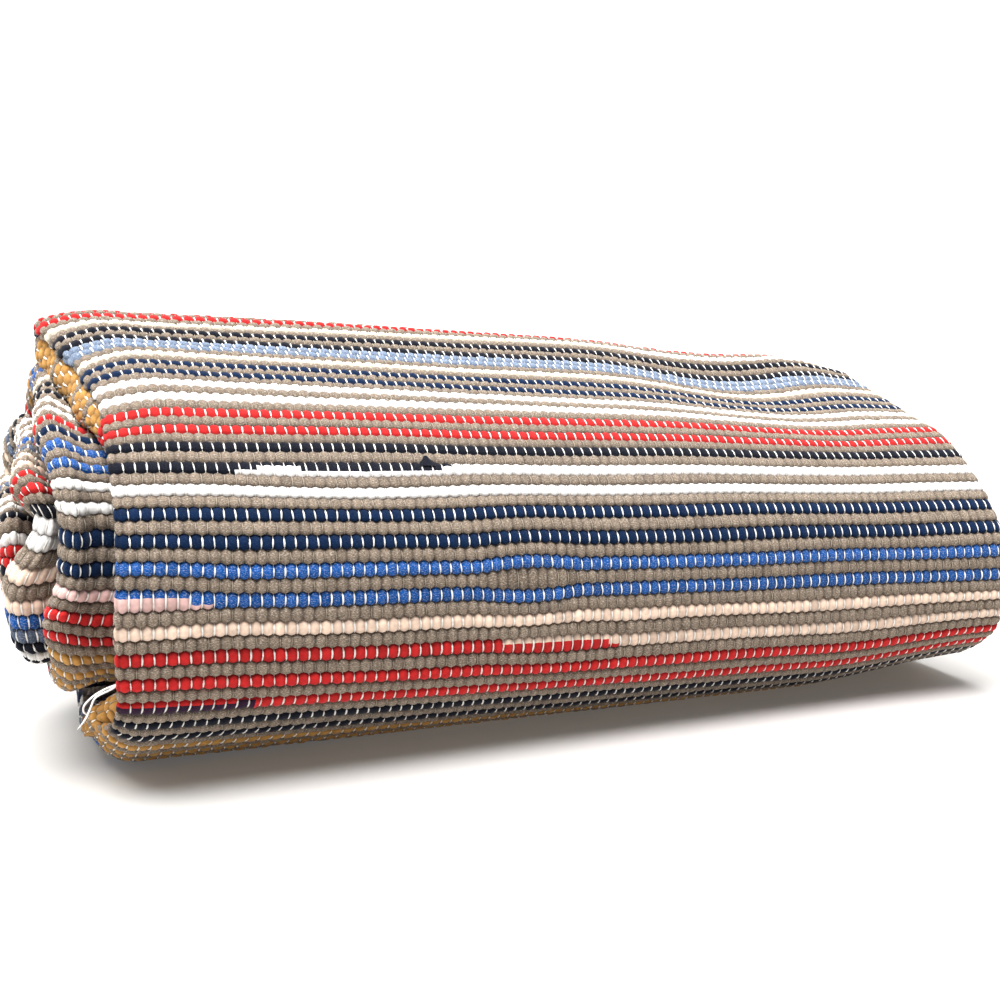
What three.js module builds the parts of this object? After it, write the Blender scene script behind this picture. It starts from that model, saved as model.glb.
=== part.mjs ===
// A flat-woven striped rag rug, folded into a bundle. Millimetres, +Z up, +X along the bundle.
// The cloth is first folded back and forth across its width into a packet of three plies, and the
// packet is then folded over and over along its length. The bundle lies flat on its first run.
import * as THREE from "three";

// The cloth and the packet of three plies. Offsets are counted inward from the bundle's skin.
const CLOTH = 6;
const PLY_PITCH = 7;
const PACKET_PITCH = 21.4;
const WIDTH = 498;
const INNER_SELVEDGE_INSET = 18;
const SELVEDGE_ROUND = 1.2;

// The second fold across the width is a nose that stands out past the first selvedge. How far it
// reaches, how fat it is (0 to 1) and how far the whole packet has slid to the left, at places
// along the route, counted in wraps.
const LEFT_END = [
  { wrap: 0.0, reach: 17, fat: 0.8, slide: 0 },
  { wrap: 0.15, reach: 16, fat: 0.7, slide: 0 },
  { wrap: 0.27, reach: 3, fat: 0, slide: 0 },
  { wrap: 0.75, reach: 3, fat: 0, slide: 0 },
  { wrap: 1.0, reach: 25, fat: 1, slide: 5 },
  { wrap: 1.6, reach: 24, fat: 1, slide: 6 },
  { wrap: 2.0, reach: 27, fat: 1, slide: 15 },
  { wrap: 3.0, reach: 25, fat: 1, slide: 26 },
];
const FAT_NOSE_RADIUS = 9.5;
const NOSE_DROP = 0.5;

// The plain section that the bundle is bent from, and the radii of its four corners.
const PLAIN = { depth: 212, height: 172 };
const CORNERS = { frontBottom: 54, frontTop: 58, backTop: 62, backBottom: 46 };
const TIGHTEST_BEND = 6;
const FULL_WRAPS = 3;
const LAST_RUN = ["bottom", "frontBottom", "front", "frontTop", "top"];
const CORE_BEND_SHARE = 0.8;

// The bundle's real section at places along its width, from the left selvedge (0) to the right fold (1):
// depth at the floor, height at the front edge and at the back, how far the top arches, and how far
// the front face swells out.
const SECTIONS = [
  { at: 0.0, depth: 214, front: 183, back: 245, arch: 6, swell: 38 },
  { at: 0.25, depth: 213, front: 170, back: 239, arch: 1, swell: 30 },
  { at: 0.5, depth: 212, front: 156, back: 231, arch: -2, swell: 22 },
  { at: 0.8, depth: 210, front: 140, back: 221, arch: -3, swell: 14 },
  { at: 0.9, depth: 209, front: 135, back: 214, arch: -3, swell: 15 },
  { at: 1.0, depth: 208, front: 131, back: 190, arch: -2, swell: 18 },
];
const BACK_SWELL_SHARE = 0.35;

// Places across the width where a ply has points, as shares of the width.
const PLY_STATIONS = [0, 0.25, 0.55, 0.85];
const RIGHT_TURN_STEPS = 3;
const LEFT_TURN_STEPS = 5;

// Steps along each stretch of one wrap, on the outermost wrap and on those inside it.
const STRETCHES = [
  { name: "bottom", outer: 4, inner: 2 },
  { name: "frontBottom", outer: 5, inner: 3 },
  { name: "front", outer: 4, inner: 2 },
  { name: "frontTop", outer: 5, inner: 3 },
  { name: "top", outer: 5, inner: 3 },
  { name: "backTop", outer: 5, inner: 3 },
  { name: "back", outer: 3, inner: 2 },
  { name: "backBottom", outer: 3, inner: 3 },
];

const LOOK = { color: 0x8f867b, roughness: 0.95, metalness: 0 };

// The bundle's centre in the frame of its first corner, so that the part stands on its own centre.
const CENTRE_X = 223.3;
const CENTRE_Y = 94.1;

const lerp = (a, b, f) => a + (b - a) * f;
const smooth = (f) => f * f * (3 - 2 * f);

// A straight run between the rows of the left end's table.
function leftEndValue(column, wrap) {
  const after = LEFT_END.findIndex((row) => row.wrap >= wrap);
  if (after < 0) return LEFT_END[LEFT_END.length - 1][column];
  if (after === 0) return LEFT_END[0][column];
  const a = LEFT_END[after - 1];
  const b = LEFT_END[after];
  return lerp(a[column], b[column], smooth((wrap - a.wrap) / (b.wrap - a.wrap)));
}

// A smooth curve through the section table (Hermite, with slopes from the neighbouring rows).
function sectionValue(column, at) {
  const rows = SECTIONS;
  const last = rows.length - 1;
  const slope = (i) => {
    const a = rows[Math.max(i - 1, 0)];
    const b = rows[Math.min(i + 1, last)];
    return (b[column] - a[column]) / (b.at - a.at);
  };
  if (at <= rows[0].at) return rows[0][column] + slope(0) * (at - rows[0].at);
  if (at >= rows[last].at) return rows[last][column];
  let i = 0;
  while (at > rows[i + 1].at) i += 1;
  const span = rows[i + 1].at - rows[i].at;
  const f = (at - rows[i].at) / span;
  const start = rows[i][column];
  const end = rows[i + 1][column];
  const ease = f * (1 - f) * span * ((1 - f) * slope(i) - f * slope(i + 1));
  return lerp(start, end, smooth(f)) + ease;
}

// A point of the plain section: a rounded rectangle drawn in by the inset. Each stretch is walked
// from 0 to 1, from the back of the bottom run, under the front edge, up the front, over and down.
function plainPoint(name, f, inset) {
  const { depth, height } = PLAIN;
  const tightest = Math.min(TIGHTEST_BEND, CORE_BEND_SHARE * (height / 2 - inset));
  const radius = (corner) => Math.max(CORNERS[corner] - inset, tightest);
  const reach = (corner) => inset + radius(corner);
  const arc = (corner, y, z, from, to) => {
    const angle = lerp(from, to, f) * Math.PI / 180;
    return [y + radius(corner) * Math.cos(angle), z + radius(corner) * Math.sin(angle)];
  };
  const fb = reach("frontBottom");
  const ft = reach("frontTop");
  const bt = reach("backTop");
  const bb = reach("backBottom");
  switch (name) {
    case "bottom": return [lerp(depth - bb, fb, f), inset];
    case "frontBottom": return arc(name, fb, fb, -90, -180);
    case "front": return [inset, lerp(fb, height - ft, f)];
    case "frontTop": return arc(name, ft, height - ft, 180, 90);
    case "top": return [lerp(ft, depth - bt, f), height - inset];
    case "backTop": return arc(name, depth - bt, height - bt, 90, 0);
    case "back": return [depth - inset, lerp(height - bt, bb, f)];
    default: return arc(name, depth - bb, bb, 0, -90);
  }
}

// Bends the plain section to the bundle's real one at its place along the width.
function bend(x, plainY, plainZ) {
  const at = x / WIDTH;
  const across = plainY / PLAIN.depth;
  const up = plainZ / PLAIN.height;
  const front = sectionValue("front", at);
  const rise = (sectionValue("back", at) - front) * across;
  const arch = sectionValue("arch", at) * 4 * across * (1 - across);
  const swell = sectionValue("swell", at) * 4 * up * (1 - up);
  const push = BACK_SWELL_SHARE * across ** 2 - (1 - across) ** 2;
  return new THREE.Vector3(
    x - CENTRE_X,
    across * sectionValue("depth", at) + swell * push - CENTRE_Y,
    up * (front + rise + arch),
  );
}

// The middle line of the three plies, seen from the front-bottom edge: place across the width,
// and depth inward. It runs out along the first ply, turns, comes back, turns, and runs out again.
function plyLine(reach, fat) {
  const turn = PLY_PITCH / 2;
  const first = CLOTH / 2;
  const second = first + PLY_PITCH;
  const third = second + PLY_PITCH;
  const rightCentre = WIDTH - turn - CLOTH / 2;
  const noseTurn = lerp((PLY_PITCH + NOSE_DROP) / 2, FAT_NOSE_RADIUS - CLOTH / 2, fat);
  const noseCentre = noseTurn + CLOTH / 2 - reach;
  const noseMiddle = third + NOSE_DROP - noseTurn;
  const neck = Math.max(noseCentre + 1, -SELVEDGE_ROUND - 0.5);
  const stations = PLY_STATIONS.map((share) => share * WIDTH);
  const line = stations.map((x) => [x, first]);
  for (let i = 0; i <= RIGHT_TURN_STEPS; i += 1) {
    const angle = Math.PI * (i / RIGHT_TURN_STEPS - 0.5);
    line.push([rightCentre + turn * Math.cos(angle), first + turn + turn * Math.sin(angle)]);
  }
  stations.slice(1).reverse().forEach((x) => line.push([x, second]));
  line.push([neck, second]);
  for (let i = 0; i <= LEFT_TURN_STEPS; i += 1) {
    const angle = Math.PI * (i / LEFT_TURN_STEPS - 0.5);
    line.push([noseCentre - noseTurn * Math.cos(angle), noseMiddle + noseTurn * Math.sin(angle)]);
  }
  line.push([neck, third]);
  stations.slice(1).forEach((x) => line.push([x, third]));
  line.push([WIDTH - INNER_SELVEDGE_INSET, third]);
  return line.map(([x, depth]) => new THREE.Vector2(x, depth));
}

// The closed outline of the cloth: its middle line moved half a thickness to both sides.
function clothOutline(reach, fat) {
  const line = plyLine(reach, fat);
  const direction = (i) => {
    const before = line[Math.max(i - 1, 0)];
    const after = line[Math.min(i + 1, line.length - 1)];
    return after.clone().sub(before).normalize();
  };
  const beside = (i, side) => {
    const along = direction(i);
    const half = side * CLOTH / 2;
    return new THREE.Vector2(line[i].x - along.y * half, line[i].y + along.x * half);
  };
  const tip = (i, outward) => line[i].clone().addScaledVector(direction(i), outward * SELVEDGE_ROUND);
  const near = line.map((_, i) => beside(i, -1));
  const far = line.map((_, i) => beside(i, 1)).reverse();
  return [tip(0, -1), ...near, tip(line.length - 1, 1), ...far];
}

// The route of the packet: the stretch, the place on it, how deep it lies, and how far along it is.
// A wrap sinks below the one before it down the back, where the bundle hides the step.
function packetRoute() {
  const route = [];
  const add = (wrap, name, f) => {
    const sunk = name === "backBottom" ? 1 : name === "back" ? smooth(f) : 0;
    const stretch = STRETCHES.findIndex((row) => row.name === name);
    route.push({ name, f, inset: (wrap + sunk) * PACKET_PITCH, wrap: wrap + (stretch + f) / STRETCHES.length });
  };
  const walk = (wrap, stretch) => {
    const steps = wrap === 0 ? stretch.outer : stretch.inner;
    for (let i = 1; i <= steps; i += 1) add(wrap, stretch.name, i / steps);
  };
  add(0, "bottom", 0);
  for (let wrap = 0; wrap < FULL_WRAPS; wrap += 1) STRETCHES.forEach((stretch) => walk(wrap, stretch));
  STRETCHES.filter(({ name }) => LAST_RUN.includes(name)).forEach((stretch) => walk(FULL_WRAPS, stretch));
  return route;
}

// Sweeps the outline along the route and closes both ends.
function foldedCloth() {
  const route = packetRoute();
  const outlines = route.map(({ wrap }) => clothOutline(leftEndValue("reach", wrap), leftEndValue("fat", wrap)));
  const count = outlines[0].length;
  const positions = [];
  route.forEach((stop, i) => {
    const slide = leftEndValue("slide", stop.wrap);
    for (const point of outlines[i]) {
      const [y, z] = plainPoint(stop.name, stop.f, stop.inset + point.y);
      positions.push(...bend(point.x - slide, y, z).toArray());
    }
  });
  const faces = [];
  for (let stop = 0; stop < route.length - 1; stop += 1) {
    for (let i = 0; i < count; i += 1) {
      const a = stop * count + i;
      const b = stop * count + (i + 1) % count;
      faces.push(a, b, b + count, a, b + count, a + count);
    }
  }
  const cap = (stop) => THREE.ShapeUtils.triangulateShape(outlines[stop], []);
  const lastStop = route.length - 1;
  cap(0).forEach(([a, b, c]) => faces.push(a, c, b));
  cap(lastStop).forEach((corners) => faces.push(...corners.map((corner) => corner + lastStop * count)));
  const geometry = new THREE.BufferGeometry();
  geometry.setAttribute("position", new THREE.Float32BufferAttribute(positions, 3));
  geometry.setIndex(faces);
  return geometry;
}

const rug = new THREE.Mesh(foldedCloth(), new THREE.MeshStandardMaterial(LOOK));
rug.name = "folded_rug";

const group = new THREE.Group();
group.add(rug);

export default group;
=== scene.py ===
import math

import bpy
import numpy as np
from mathutils import Matrix, Vector


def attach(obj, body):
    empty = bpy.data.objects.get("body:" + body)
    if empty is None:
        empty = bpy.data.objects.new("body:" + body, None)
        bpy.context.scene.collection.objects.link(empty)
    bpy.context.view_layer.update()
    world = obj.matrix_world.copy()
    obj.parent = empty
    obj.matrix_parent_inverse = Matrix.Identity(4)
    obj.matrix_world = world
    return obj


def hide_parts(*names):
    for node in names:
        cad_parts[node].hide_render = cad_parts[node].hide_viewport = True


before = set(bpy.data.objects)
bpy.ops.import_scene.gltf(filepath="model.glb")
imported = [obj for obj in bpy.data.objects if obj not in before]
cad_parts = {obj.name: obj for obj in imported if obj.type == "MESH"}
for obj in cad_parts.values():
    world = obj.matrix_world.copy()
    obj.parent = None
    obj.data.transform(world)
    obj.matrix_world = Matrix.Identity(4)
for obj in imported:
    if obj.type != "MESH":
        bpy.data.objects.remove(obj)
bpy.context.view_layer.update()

MM = 0.001
TINY = 1e-9
RUG_NODE = "folded_rug"

# The cloth, and the packet of three plies that it is folded into across its width.
CLOTH = 6.0
HALF = CLOTH / 2
PLY_PITCH = 7.0
SECOND_PLY = HALF + PLY_PITCH
THIRD_PLY = HALF + 2 * PLY_PITCH
PACKET_PITCH = 21.4
WIDTH = 498.0
INNER_SELVEDGE_INSET = 18.0
SELVEDGE_ROUND = 1.2
FAT_NOSE_RADIUS = 9.5
NOSE_DROP = 0.5

# The left end along the route, counted in wraps: how far the fold's nose reaches past the selvedge,
# how fat it is, and how far the packet has slid.
NOSES = {
    "wrap": (0.0, 0.19, 0.26, 0.40, 0.50, 0.70, 0.90, 1.0, 1.15, 1.25, 1.32, 1.36, 1.42, 1.50, 1.60,
             2.0, 2.20, 2.30, 2.37, 2.42, 2.50, 2.60, 2.75, 3.0),
    "reach": (-8, -8, -6, -5, 6, 0, 6, 24, 24, 28, 20, 18, 20, 25, 21,
              28, 29, 33, 15, 19, 23, 15, 20, 25),
}
LEFT_END = {
    "wrap": (0.0, 0.12, 0.20, 0.27, 0.42, 0.50, 0.75, 1.0, 1.6, 2.0, 3.0),
    "fat": (1, 1, 1, 0, 0, 0.4, 0.4, 1, 1, 1, 1),
    "slide": (0, 0, 0, 0, 0, 0, 0, 5, 6, 15, 26),
}

# How the left end lies, along the route: the first wrap's edge spreads to the left and droops from
# the top, the wraps inside it rest higher, and their first ply is tucked in. Points that lie less
# deep than the limit belong to a first ply.
LIE = {
    "wrap": (0.0, 0.12, 0.175, 0.192, 0.21, 0.24, 0.30, 0.42, 0.46, 0.53, 0.58, 0.63, 0.70, 0.85, 1.0),
    "spread": (20, 24, 22, 15, 7, 3, 3, -1, -1, 5, 14, 22, 20, 6, 0),
    "droop": (0, 0, 0, 0, 0, 0, 0, 1, 6, 10, 9, 8, 8, 3, 0),
}
RISE = {
    "wrap": (0.0, 0.12, 0.20, 0.30, 0.90, 1.0, 1.22, 1.36, 1.50, 1.90, 2.0, 2.22, 2.32),
    "rise": (15, 15, 15, 0, 0, 21, 21, 6, 0, 0, 6, 6, 0),
}
SPREAD_SPAN = 170.0
DROOP_SPAN = 34.0
DROOP_LIMIT = 1.3
END_SPAN = 60.0
RISE_DEPTH = 110.0
TIP = -26.0
TIP_RISE = 0.35
TUCK = 12.0
TUCK_START = -1.0
FIRST_PLY_LIMIT = 6.6

# The first ply curls up at the lower left corner.
CURL_START = 10.0
CURL_RADIUS = 22.0
CURL_END_WRAP = 0.25
CURL_FULL_WRAP = 0.20

# The top's slow wave near the right fold, a dip in it, and the wraps over which both begin.
TOP_WAVE = {
    "at": (0.0, 0.6, 0.75, 0.85, 0.93, 1.0),
    "lift": (0, 0, -2.0, -2.5, 1.0, 5.0),
}
TOP_WAVE_START = -25.0
TOP_WAVE_SPAN = 80.0
TOP_DIP = {"at": 0.78, "across": 0.12, "back": 125.0, "reach": 50.0, "depth": 8.0}
TOP_WRAPS = (0.35, 0.50)

# The right end's lower front edge stands a little off the floor.
HEEL = {"start": 380.0, "height": 9.5, "near": 30.0, "far": 110.0}
HEEL_WRAPS = (0.34, 0.16)

# The plain section, its corners and its stretches in walking order.
PLAIN_DEPTH = 212.0
PLAIN_HEIGHT = 172.0
FRONT_BOTTOM, FRONT_TOP, BACK_TOP, BACK_BOTTOM = 54.0, 58.0, 62.0, 46.0
TIGHTEST_BEND = 6.0
CORE_BEND_SHARE = 0.8
STRETCHES = 8
DOWN_THE_BACK, LAST_CORNER = 6, 7
BOTTOM_END, TOP_START, BACK_TOP_START, BACK_END = 1 / 8, 4 / 8, 5 / 8, 7 / 8
END_WRAP = 3 + 5 / 8

# The bundle's real section along its width, and the height of the lower navy row on the front.
SECTIONS = {
    "at": (0.0, 0.25, 0.5, 0.8, 0.9, 1.0),
    "depth": (214, 213, 212, 210, 209, 208),
    "front": (183, 170, 156, 140, 135, 131),
    "back": (245, 239, 231, 221, 214, 190),
    "arch": (6, 1, -2, -3, -3, -2),
    "swell": (38, 30, 22, 14, 15, 18),
    "navy": (126, 116.8, 109, 101, 98.8, 96.7),
}
BACK_SWELL_SHARE = 0.35
CENTRE_X = 223.3
CENTRE_Y = 94.1

# The weave: pitch of the warp and of the weft rows, and the relief of a weft bead.
STITCH = 5.513
ROW = 6.75
GROOVE = 2.0
PINCH = 0.62
PINCH_WIDTH = 0.14
BRICK = 0.07
RIB_POWER = 2.6
BEAD_JITTER = 0.10
ROW_JITTER = 0.06
BEAD_SETTLE = 0.08
BEAD_FULLNESS = (0.6, 1.04)
ROW_WANDER = 0.10
WANDER_STITCHES = 3
HEM_ROW = -34


def smooth(f):
    return f * f * (3 - 2 * f)


def mix(a, b, f):
    return a + (b - a) * f


def share(value, start, end):
    """A smooth share that grows from 0 at the start to 1 at the end."""
    return smooth(np.clip((value - start) / (end - start), 0, 1))


def table_value(table, key, column, at):
    """A smooth curve through a table's rows, with slopes from the neighbouring rows."""
    knots = np.array(table[key], float)
    values = np.array(table[column], float)
    slopes = np.gradient(values, knots)
    slopes[1:-1] = (values[2:] - values[:-2]) / (knots[2:] - knots[:-2])
    at = np.asarray(at, float)
    i = np.clip(np.searchsorted(knots, at, side="right") - 1, 0, len(knots) - 2)
    span = knots[i + 1] - knots[i]
    f = np.clip((at - knots[i]) / span, 0, 1)
    ease = f * (1 - f) * span * ((1 - f) * slopes[i] - f * slopes[i + 1])
    inside = mix(values[i], values[i + 1], smooth(f)) + ease
    return inside + np.minimum(at - knots[0], 0) * slopes[0]


def section_value(column, x):
    return table_value(SECTIONS, "at", column, np.asarray(x, float) / WIDTH)


def step_value(table, column, wrap):
    """A smoothed step between the rows of a table along the route."""
    knots = np.array(table["wrap"], float)
    values = np.array(table[column], float)
    wrap = np.clip(np.asarray(wrap, float), knots[0], knots[-1])
    i = np.clip(np.searchsorted(knots, wrap, side="right") - 1, 0, len(knots) - 2)
    f = (wrap - knots[i]) / (knots[i + 1] - knots[i])
    return mix(values[i], values[i + 1], smooth(f))


def stretch_of(wrap):
    """The stretch that a place on the route lies on, and how far along it."""
    step = (np.asarray(wrap, float) % 1) * STRETCHES
    stretch = np.floor(step + TINY).astype(int)
    return stretch, np.clip(step - stretch, 0, 1)


def route_inset(wrap):
    """How deep the packet lies: a wrap sinks below the one before it down the back."""
    stretch, f = stretch_of(wrap)
    sunk = np.where(stretch == DOWN_THE_BACK, smooth(f), np.where(stretch == LAST_CORNER, 1.0, 0.0))
    return (np.floor(np.asarray(wrap, float) + TINY) + sunk) * PACKET_PITCH


def plain_point(wrap, inset):
    """A point of the plain section, a rounded rectangle drawn in by the inset."""
    stretch, f = stretch_of(wrap)
    tightest = np.minimum(TIGHTEST_BEND, CORE_BEND_SHARE * (PLAIN_HEIGHT / 2 - inset))
    corners = (FRONT_BOTTOM, FRONT_TOP, BACK_TOP, BACK_BOTTOM)
    radii = [np.maximum(corner - inset, tightest) for corner in corners]
    low_front, high_front, high_back, low_back = [inset + radius for radius in radii]
    depth, height = PLAIN_DEPTH, PLAIN_HEIGHT

    def arc(radius, y, z, start, end):
        angle = np.radians(mix(start, end, f))
        return y + radius * np.cos(angle), z + radius * np.sin(angle)

    level = inset + 0 * f
    points = [
        (mix(depth - low_back, low_front, f), level),
        arc(radii[0], low_front, low_front, -90, -180),
        (level, mix(low_front, height - high_front, f)),
        arc(radii[1], high_front, height - high_front, 180, 90),
        (mix(high_front, depth - high_back, f), height - level),
        arc(radii[2], depth - high_back, height - high_back, 90, 0),
        (depth - level, mix(height - high_back, low_back, f)),
        arc(radii[3], depth - low_back, low_back, 0, -90),
    ]
    choices = [stretch == k for k in range(STRETCHES)]
    return np.select(choices, [p[0] for p in points]), np.select(choices, [p[1] for p in points])


def bend(x, plain_y, plain_z):
    """Bends the plain section to the bundle's real one, and centres it. Returns millimetres."""
    across = plain_y / PLAIN_DEPTH
    up = plain_z / PLAIN_HEIGHT
    front = section_value("front", x)
    rise = (section_value("back", x) - front) * across
    arch = section_value("arch", x) * 4 * across * (1 - across)
    swell = section_value("swell", x) * 4 * up * (1 - up)
    push = BACK_SWELL_SHARE * across ** 2 - (1 - across) ** 2
    y = across * section_value("depth", x) + swell * push
    z = up * (front + rise + arch)
    return np.stack([x - CENTRE_X + 0 * y, y - CENTRE_Y, z], -1)


def curl(x, depth):
    """How far the first ply's lower corner moves aside and up as it rolls up on a round."""
    rolled = CURL_START - x
    angle = np.clip(rolled / CURL_RADIUS, 0, math.pi / 2)
    radius = CURL_RADIUS - depth
    beyond = np.maximum(rolled - CURL_RADIUS * math.pi / 2, 0)
    aside = np.maximum(rolled, 0) - radius * np.sin(angle)
    return aside, CURL_RADIUS - radius * np.cos(angle) - depth + beyond


def top_lift(x, wrap, plain_y):
    """The top's slow wave and its dip."""
    wave = table_value(TOP_WAVE, "at", "lift", x / WIDTH)
    wave = wave * share(plain_y, TOP_WAVE_START, TOP_WAVE_START + TOP_WAVE_SPAN)
    beside = (x / WIDTH - TOP_DIP["at"]) / TOP_DIP["across"]
    behind = (plain_y - TOP_DIP["back"]) / TOP_DIP["reach"]
    return (wave - TOP_DIP["depth"] * np.exp(-beside ** 2 - behind ** 2)) * share(wrap, *TOP_WRAPS)


def heel_lift(x, wrap, plain_y):
    """How far the right end's lower front edge stands off the floor."""
    lift = HEEL["height"] * share(x, HEEL["start"], WIDTH) * share(wrap % 1, *HEEL_WRAPS)
    return lift * share(plain_y, HEEL["far"], HEEL["near"])


def lie(x, wrap, depth, plain_y):
    """How far a point has moved from the even fold: aside at the left end, and up or down."""
    outermost = np.where(wrap < 1, 1.0, 0.0)
    near_end = share(x, END_SPAN, 0.0)
    in_first_ply = depth < FIRST_PLY_LIMIT
    first_ply = outermost * np.where(in_first_ply, 1.0, 0.0)
    tucked = (1 - outermost) * np.where(in_first_ply & (x > TUCK_START), TUCK, 0.0) * near_end
    spread = outermost * step_value(LIE, "spread", wrap) * share(x, SPREAD_SPAN, 0.0) - tucked
    over_edge = np.clip((DROOP_SPAN - x) / DROOP_SPAN, 0, DROOP_LIMIT)
    droop = outermost * step_value(LIE, "droop", wrap) * over_edge ** 2
    rise = (1 - first_ply) * step_value(RISE, "rise", wrap) * near_end
    rise = rise * share(plain_y, RISE_DEPTH, 0.0) * (1 + TIP_RISE * share(x, 0, TIP))
    curled = first_ply * share(wrap, CURL_END_WRAP, CURL_FULL_WRAP)
    curl_aside, curl_up = curl(x - spread, depth)
    lifted = rise - droop + curled * curl_up + top_lift(x, wrap, plain_y) + heel_lift(x, wrap, plain_y)
    return curled * curl_aside - spread, lifted


def place(x, wrap, depth):
    """A point of the packet: place across the width, place on the route, depth inward from its skin."""
    x, wrap, depth = np.broadcast_arrays(*(np.asarray(v, float) for v in (x, wrap, depth)))
    plain_y, plain_z = plain_point(wrap, route_inset(wrap) + depth)
    points = bend(x - step_value(LEFT_END, "slide", wrap), plain_y, plain_z)
    aside, lifted = lie(x, wrap, depth, plain_y)
    points[..., 0] += aside
    points[..., 2] += lifted
    return points


def lengths(points):
    """The length walked up to each point of a line."""
    steps = np.linalg.norm(np.diff(points, axis=0), axis=1)
    return np.concatenate([[0], np.cumsum(steps)])


# Weft rows on the route. Row 0 is the lower navy row, and rows are counted up the front.
ROUTE = np.linspace(0, END_WRAP, 2900)
STATIONS = np.linspace(0, WIDTH, 13)
STATION_PITCH = STATIONS[1]
MIDDLE_STATION = len(STATIONS) // 2


def on_route(wrap, values):
    return np.interp(wrap, ROUTE, values)


def even_rows(x):
    """Evenly spaced rows along the route at one station, and the length walked there."""
    plain_y, plain_z = plain_point(ROUTE, route_inset(ROUTE))
    points = bend(x + 0 * ROUTE, plain_y, plain_z)
    walked = lengths(points)
    front = (ROUTE > BOTTOM_END) & (ROUTE < TOP_START)
    start = np.interp(section_value("navy", x), points[front][:, 2], walked[front])
    return (walked - start) / ROW, walked


def route_rows():
    """The row number at each place of the route, at each station across the width."""
    stations = [even_rows(x) for x in STATIONS]
    middle_rows, middle_walked = stations[MIDDLE_STATION]
    back_row = round(float(on_route(BACK_END, middle_rows)))
    inner_rows = back_row + (middle_walked - on_route(BACK_END, middle_walked)) / ROW
    table = []
    for rows, walked in stations:
        bottom_row, top_row = on_route(BOTTOM_END, rows), on_route(BACK_TOP_START, rows)
        to_bottom_end = walked / on_route(BOTTOM_END, walked)
        top_walked = on_route(BACK_TOP_START, walked)
        down = (walked - top_walked) / (on_route(BACK_END, walked) - top_walked)
        rows = np.where(ROUTE < BOTTOM_END, mix(HEM_ROW, bottom_row, to_bottom_end), rows)
        rows = np.where(ROUTE > BACK_TOP_START, mix(top_row, back_row, down), rows)
        table.append(np.where(ROUTE > BACK_END, inner_rows, rows))
    return np.array(table)


ROUTE_ROWS = route_rows()


def row_at(wrap):
    """The row at a place on the route, in the middle of the width."""
    return float(on_route(wrap, ROUTE_ROWS[MIDDLE_STATION]))


def rows_across(x):
    """The row number at each place of the route, anywhere across the width."""
    i = min(int(x / STATION_PITCH), len(STATIONS) - 2)
    return mix(ROUTE_ROWS[i], ROUTE_ROWS[i + 1], (x - STATIONS[i]) / STATION_PITCH)


def route_of(rows, x):
    """Places on the route for row numbers (columns of a grid), each column at its own place x."""
    found = np.zeros_like(rows)
    for k, place_x in enumerate(np.clip(x, 0, WIDTH)):
        found[k] = np.interp(rows[k], rows_across(place_x), ROUTE)
    return found


# Dyes of the jersey strips: colour, and how much white is flecked into it.
DYES = {
    "taupe": (0.262, 0.205, 0.155, 0.80),
    "red": (0.58, 0.030, 0.030, 0.03),
    "plum": (0.035, 0.010, 0.035, 0.05),
    "navy": (0.003, 0.021, 0.070, 0.05),
    "black": (0.008, 0.010, 0.020, 0.05),
    "royal": (0.007, 0.105, 0.38, 0.60),
    "light_blue": (0.20, 0.27, 0.39, 0.85),
    "grey_blue": (0.10, 0.14, 0.22, 0.60),
    "white": (0.93, 0.915, 0.89, 0.0),
    "cream": (0.74, 0.68, 0.56, 0.05),
    "peach": (0.86, 0.67, 0.54, 0.0),
    "pink": (0.82, 0.56, 0.52, 0.0),
    "gold": (0.55, 0.30, 0.085, 0.15),
}
DYE_NAMES = list(DYES)
DYE_VALUES = np.array(list(DYES.values()))
TAUPE = DYE_NAMES.index("taupe")

# Dyed rows of the outermost wrap, from under the bundle, up the front and over the top. The rows
# between them are taupe.
OUTER_ROWS = {
    -32: "navy", -30: "white", -28: "white", -26: "royal", -24: "royal", -22: "gold",
    -20: "gold", -18: "gold", -16: "black", -14: "black", -12: "red", -10: "red", -8: "red",
    -6: "peach", -4: "royal", -2: "royal", 0: "navy", 2: "navy", 4: "white", 6: "white",
    8: "black", 10: "red", 12: "red", 14: "white", 16: "white", 18: "navy", 20: "navy",
    22: "cream", 24: "light_blue", 25: "light_blue", 26: "black", 28: "black", 30: "cream",
    32: "red", 34: "red", 36: "navy", 38: "gold", 40: "gold", 42: "white", 44: "white",
    46: "royal", 48: "royal", 50: "black", 52: "red", 54: "peach", 56: "navy", 58: "white",
    60: "gold", 62: "red",
}

# Rows of the second wrap, and of the two wraps inside it, as their folds show at the left.
SECOND_WRAP_ROWS = {
    79: "grey_blue", 81: "white", 83: "gold", 85: "gold", 87: "gold", 89: "gold", 91: "red", 93: "red",
    95: "pink", 97: "navy", 99: "navy", 101: "white", 103: "white", 105: "royal", 107: "royal",
    109: "navy", 111: "red", 113: "white", 115: "white", 117: "black", 119: "black", 121: "cream",
    124: "royal", 126: "royal", 128: "gold", 130: "gold", 132: "red",
}
THIRD_WRAP_ROWS = {
    158: "gold", 160: "gold", 162: "gold", 164: "gold", 166: "white", 168: "white", 169: "black",
    170: "white", 171: "black", 172: "grey_blue", 173: "royal", 174: "peach", 176: "peach",
    178: "white", 179: "white", 180: "black", 182: "red",
    184: "red", 186: "peach", 188: "peach", 190: "grey_blue", 192: "royal", 194: "white",
}
FOURTH_WRAP_ROWS = {
    226: "black", 228: "peach", 230: "black", 231: "red", 232: "red", 233: "white", 235: "black",
}

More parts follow.
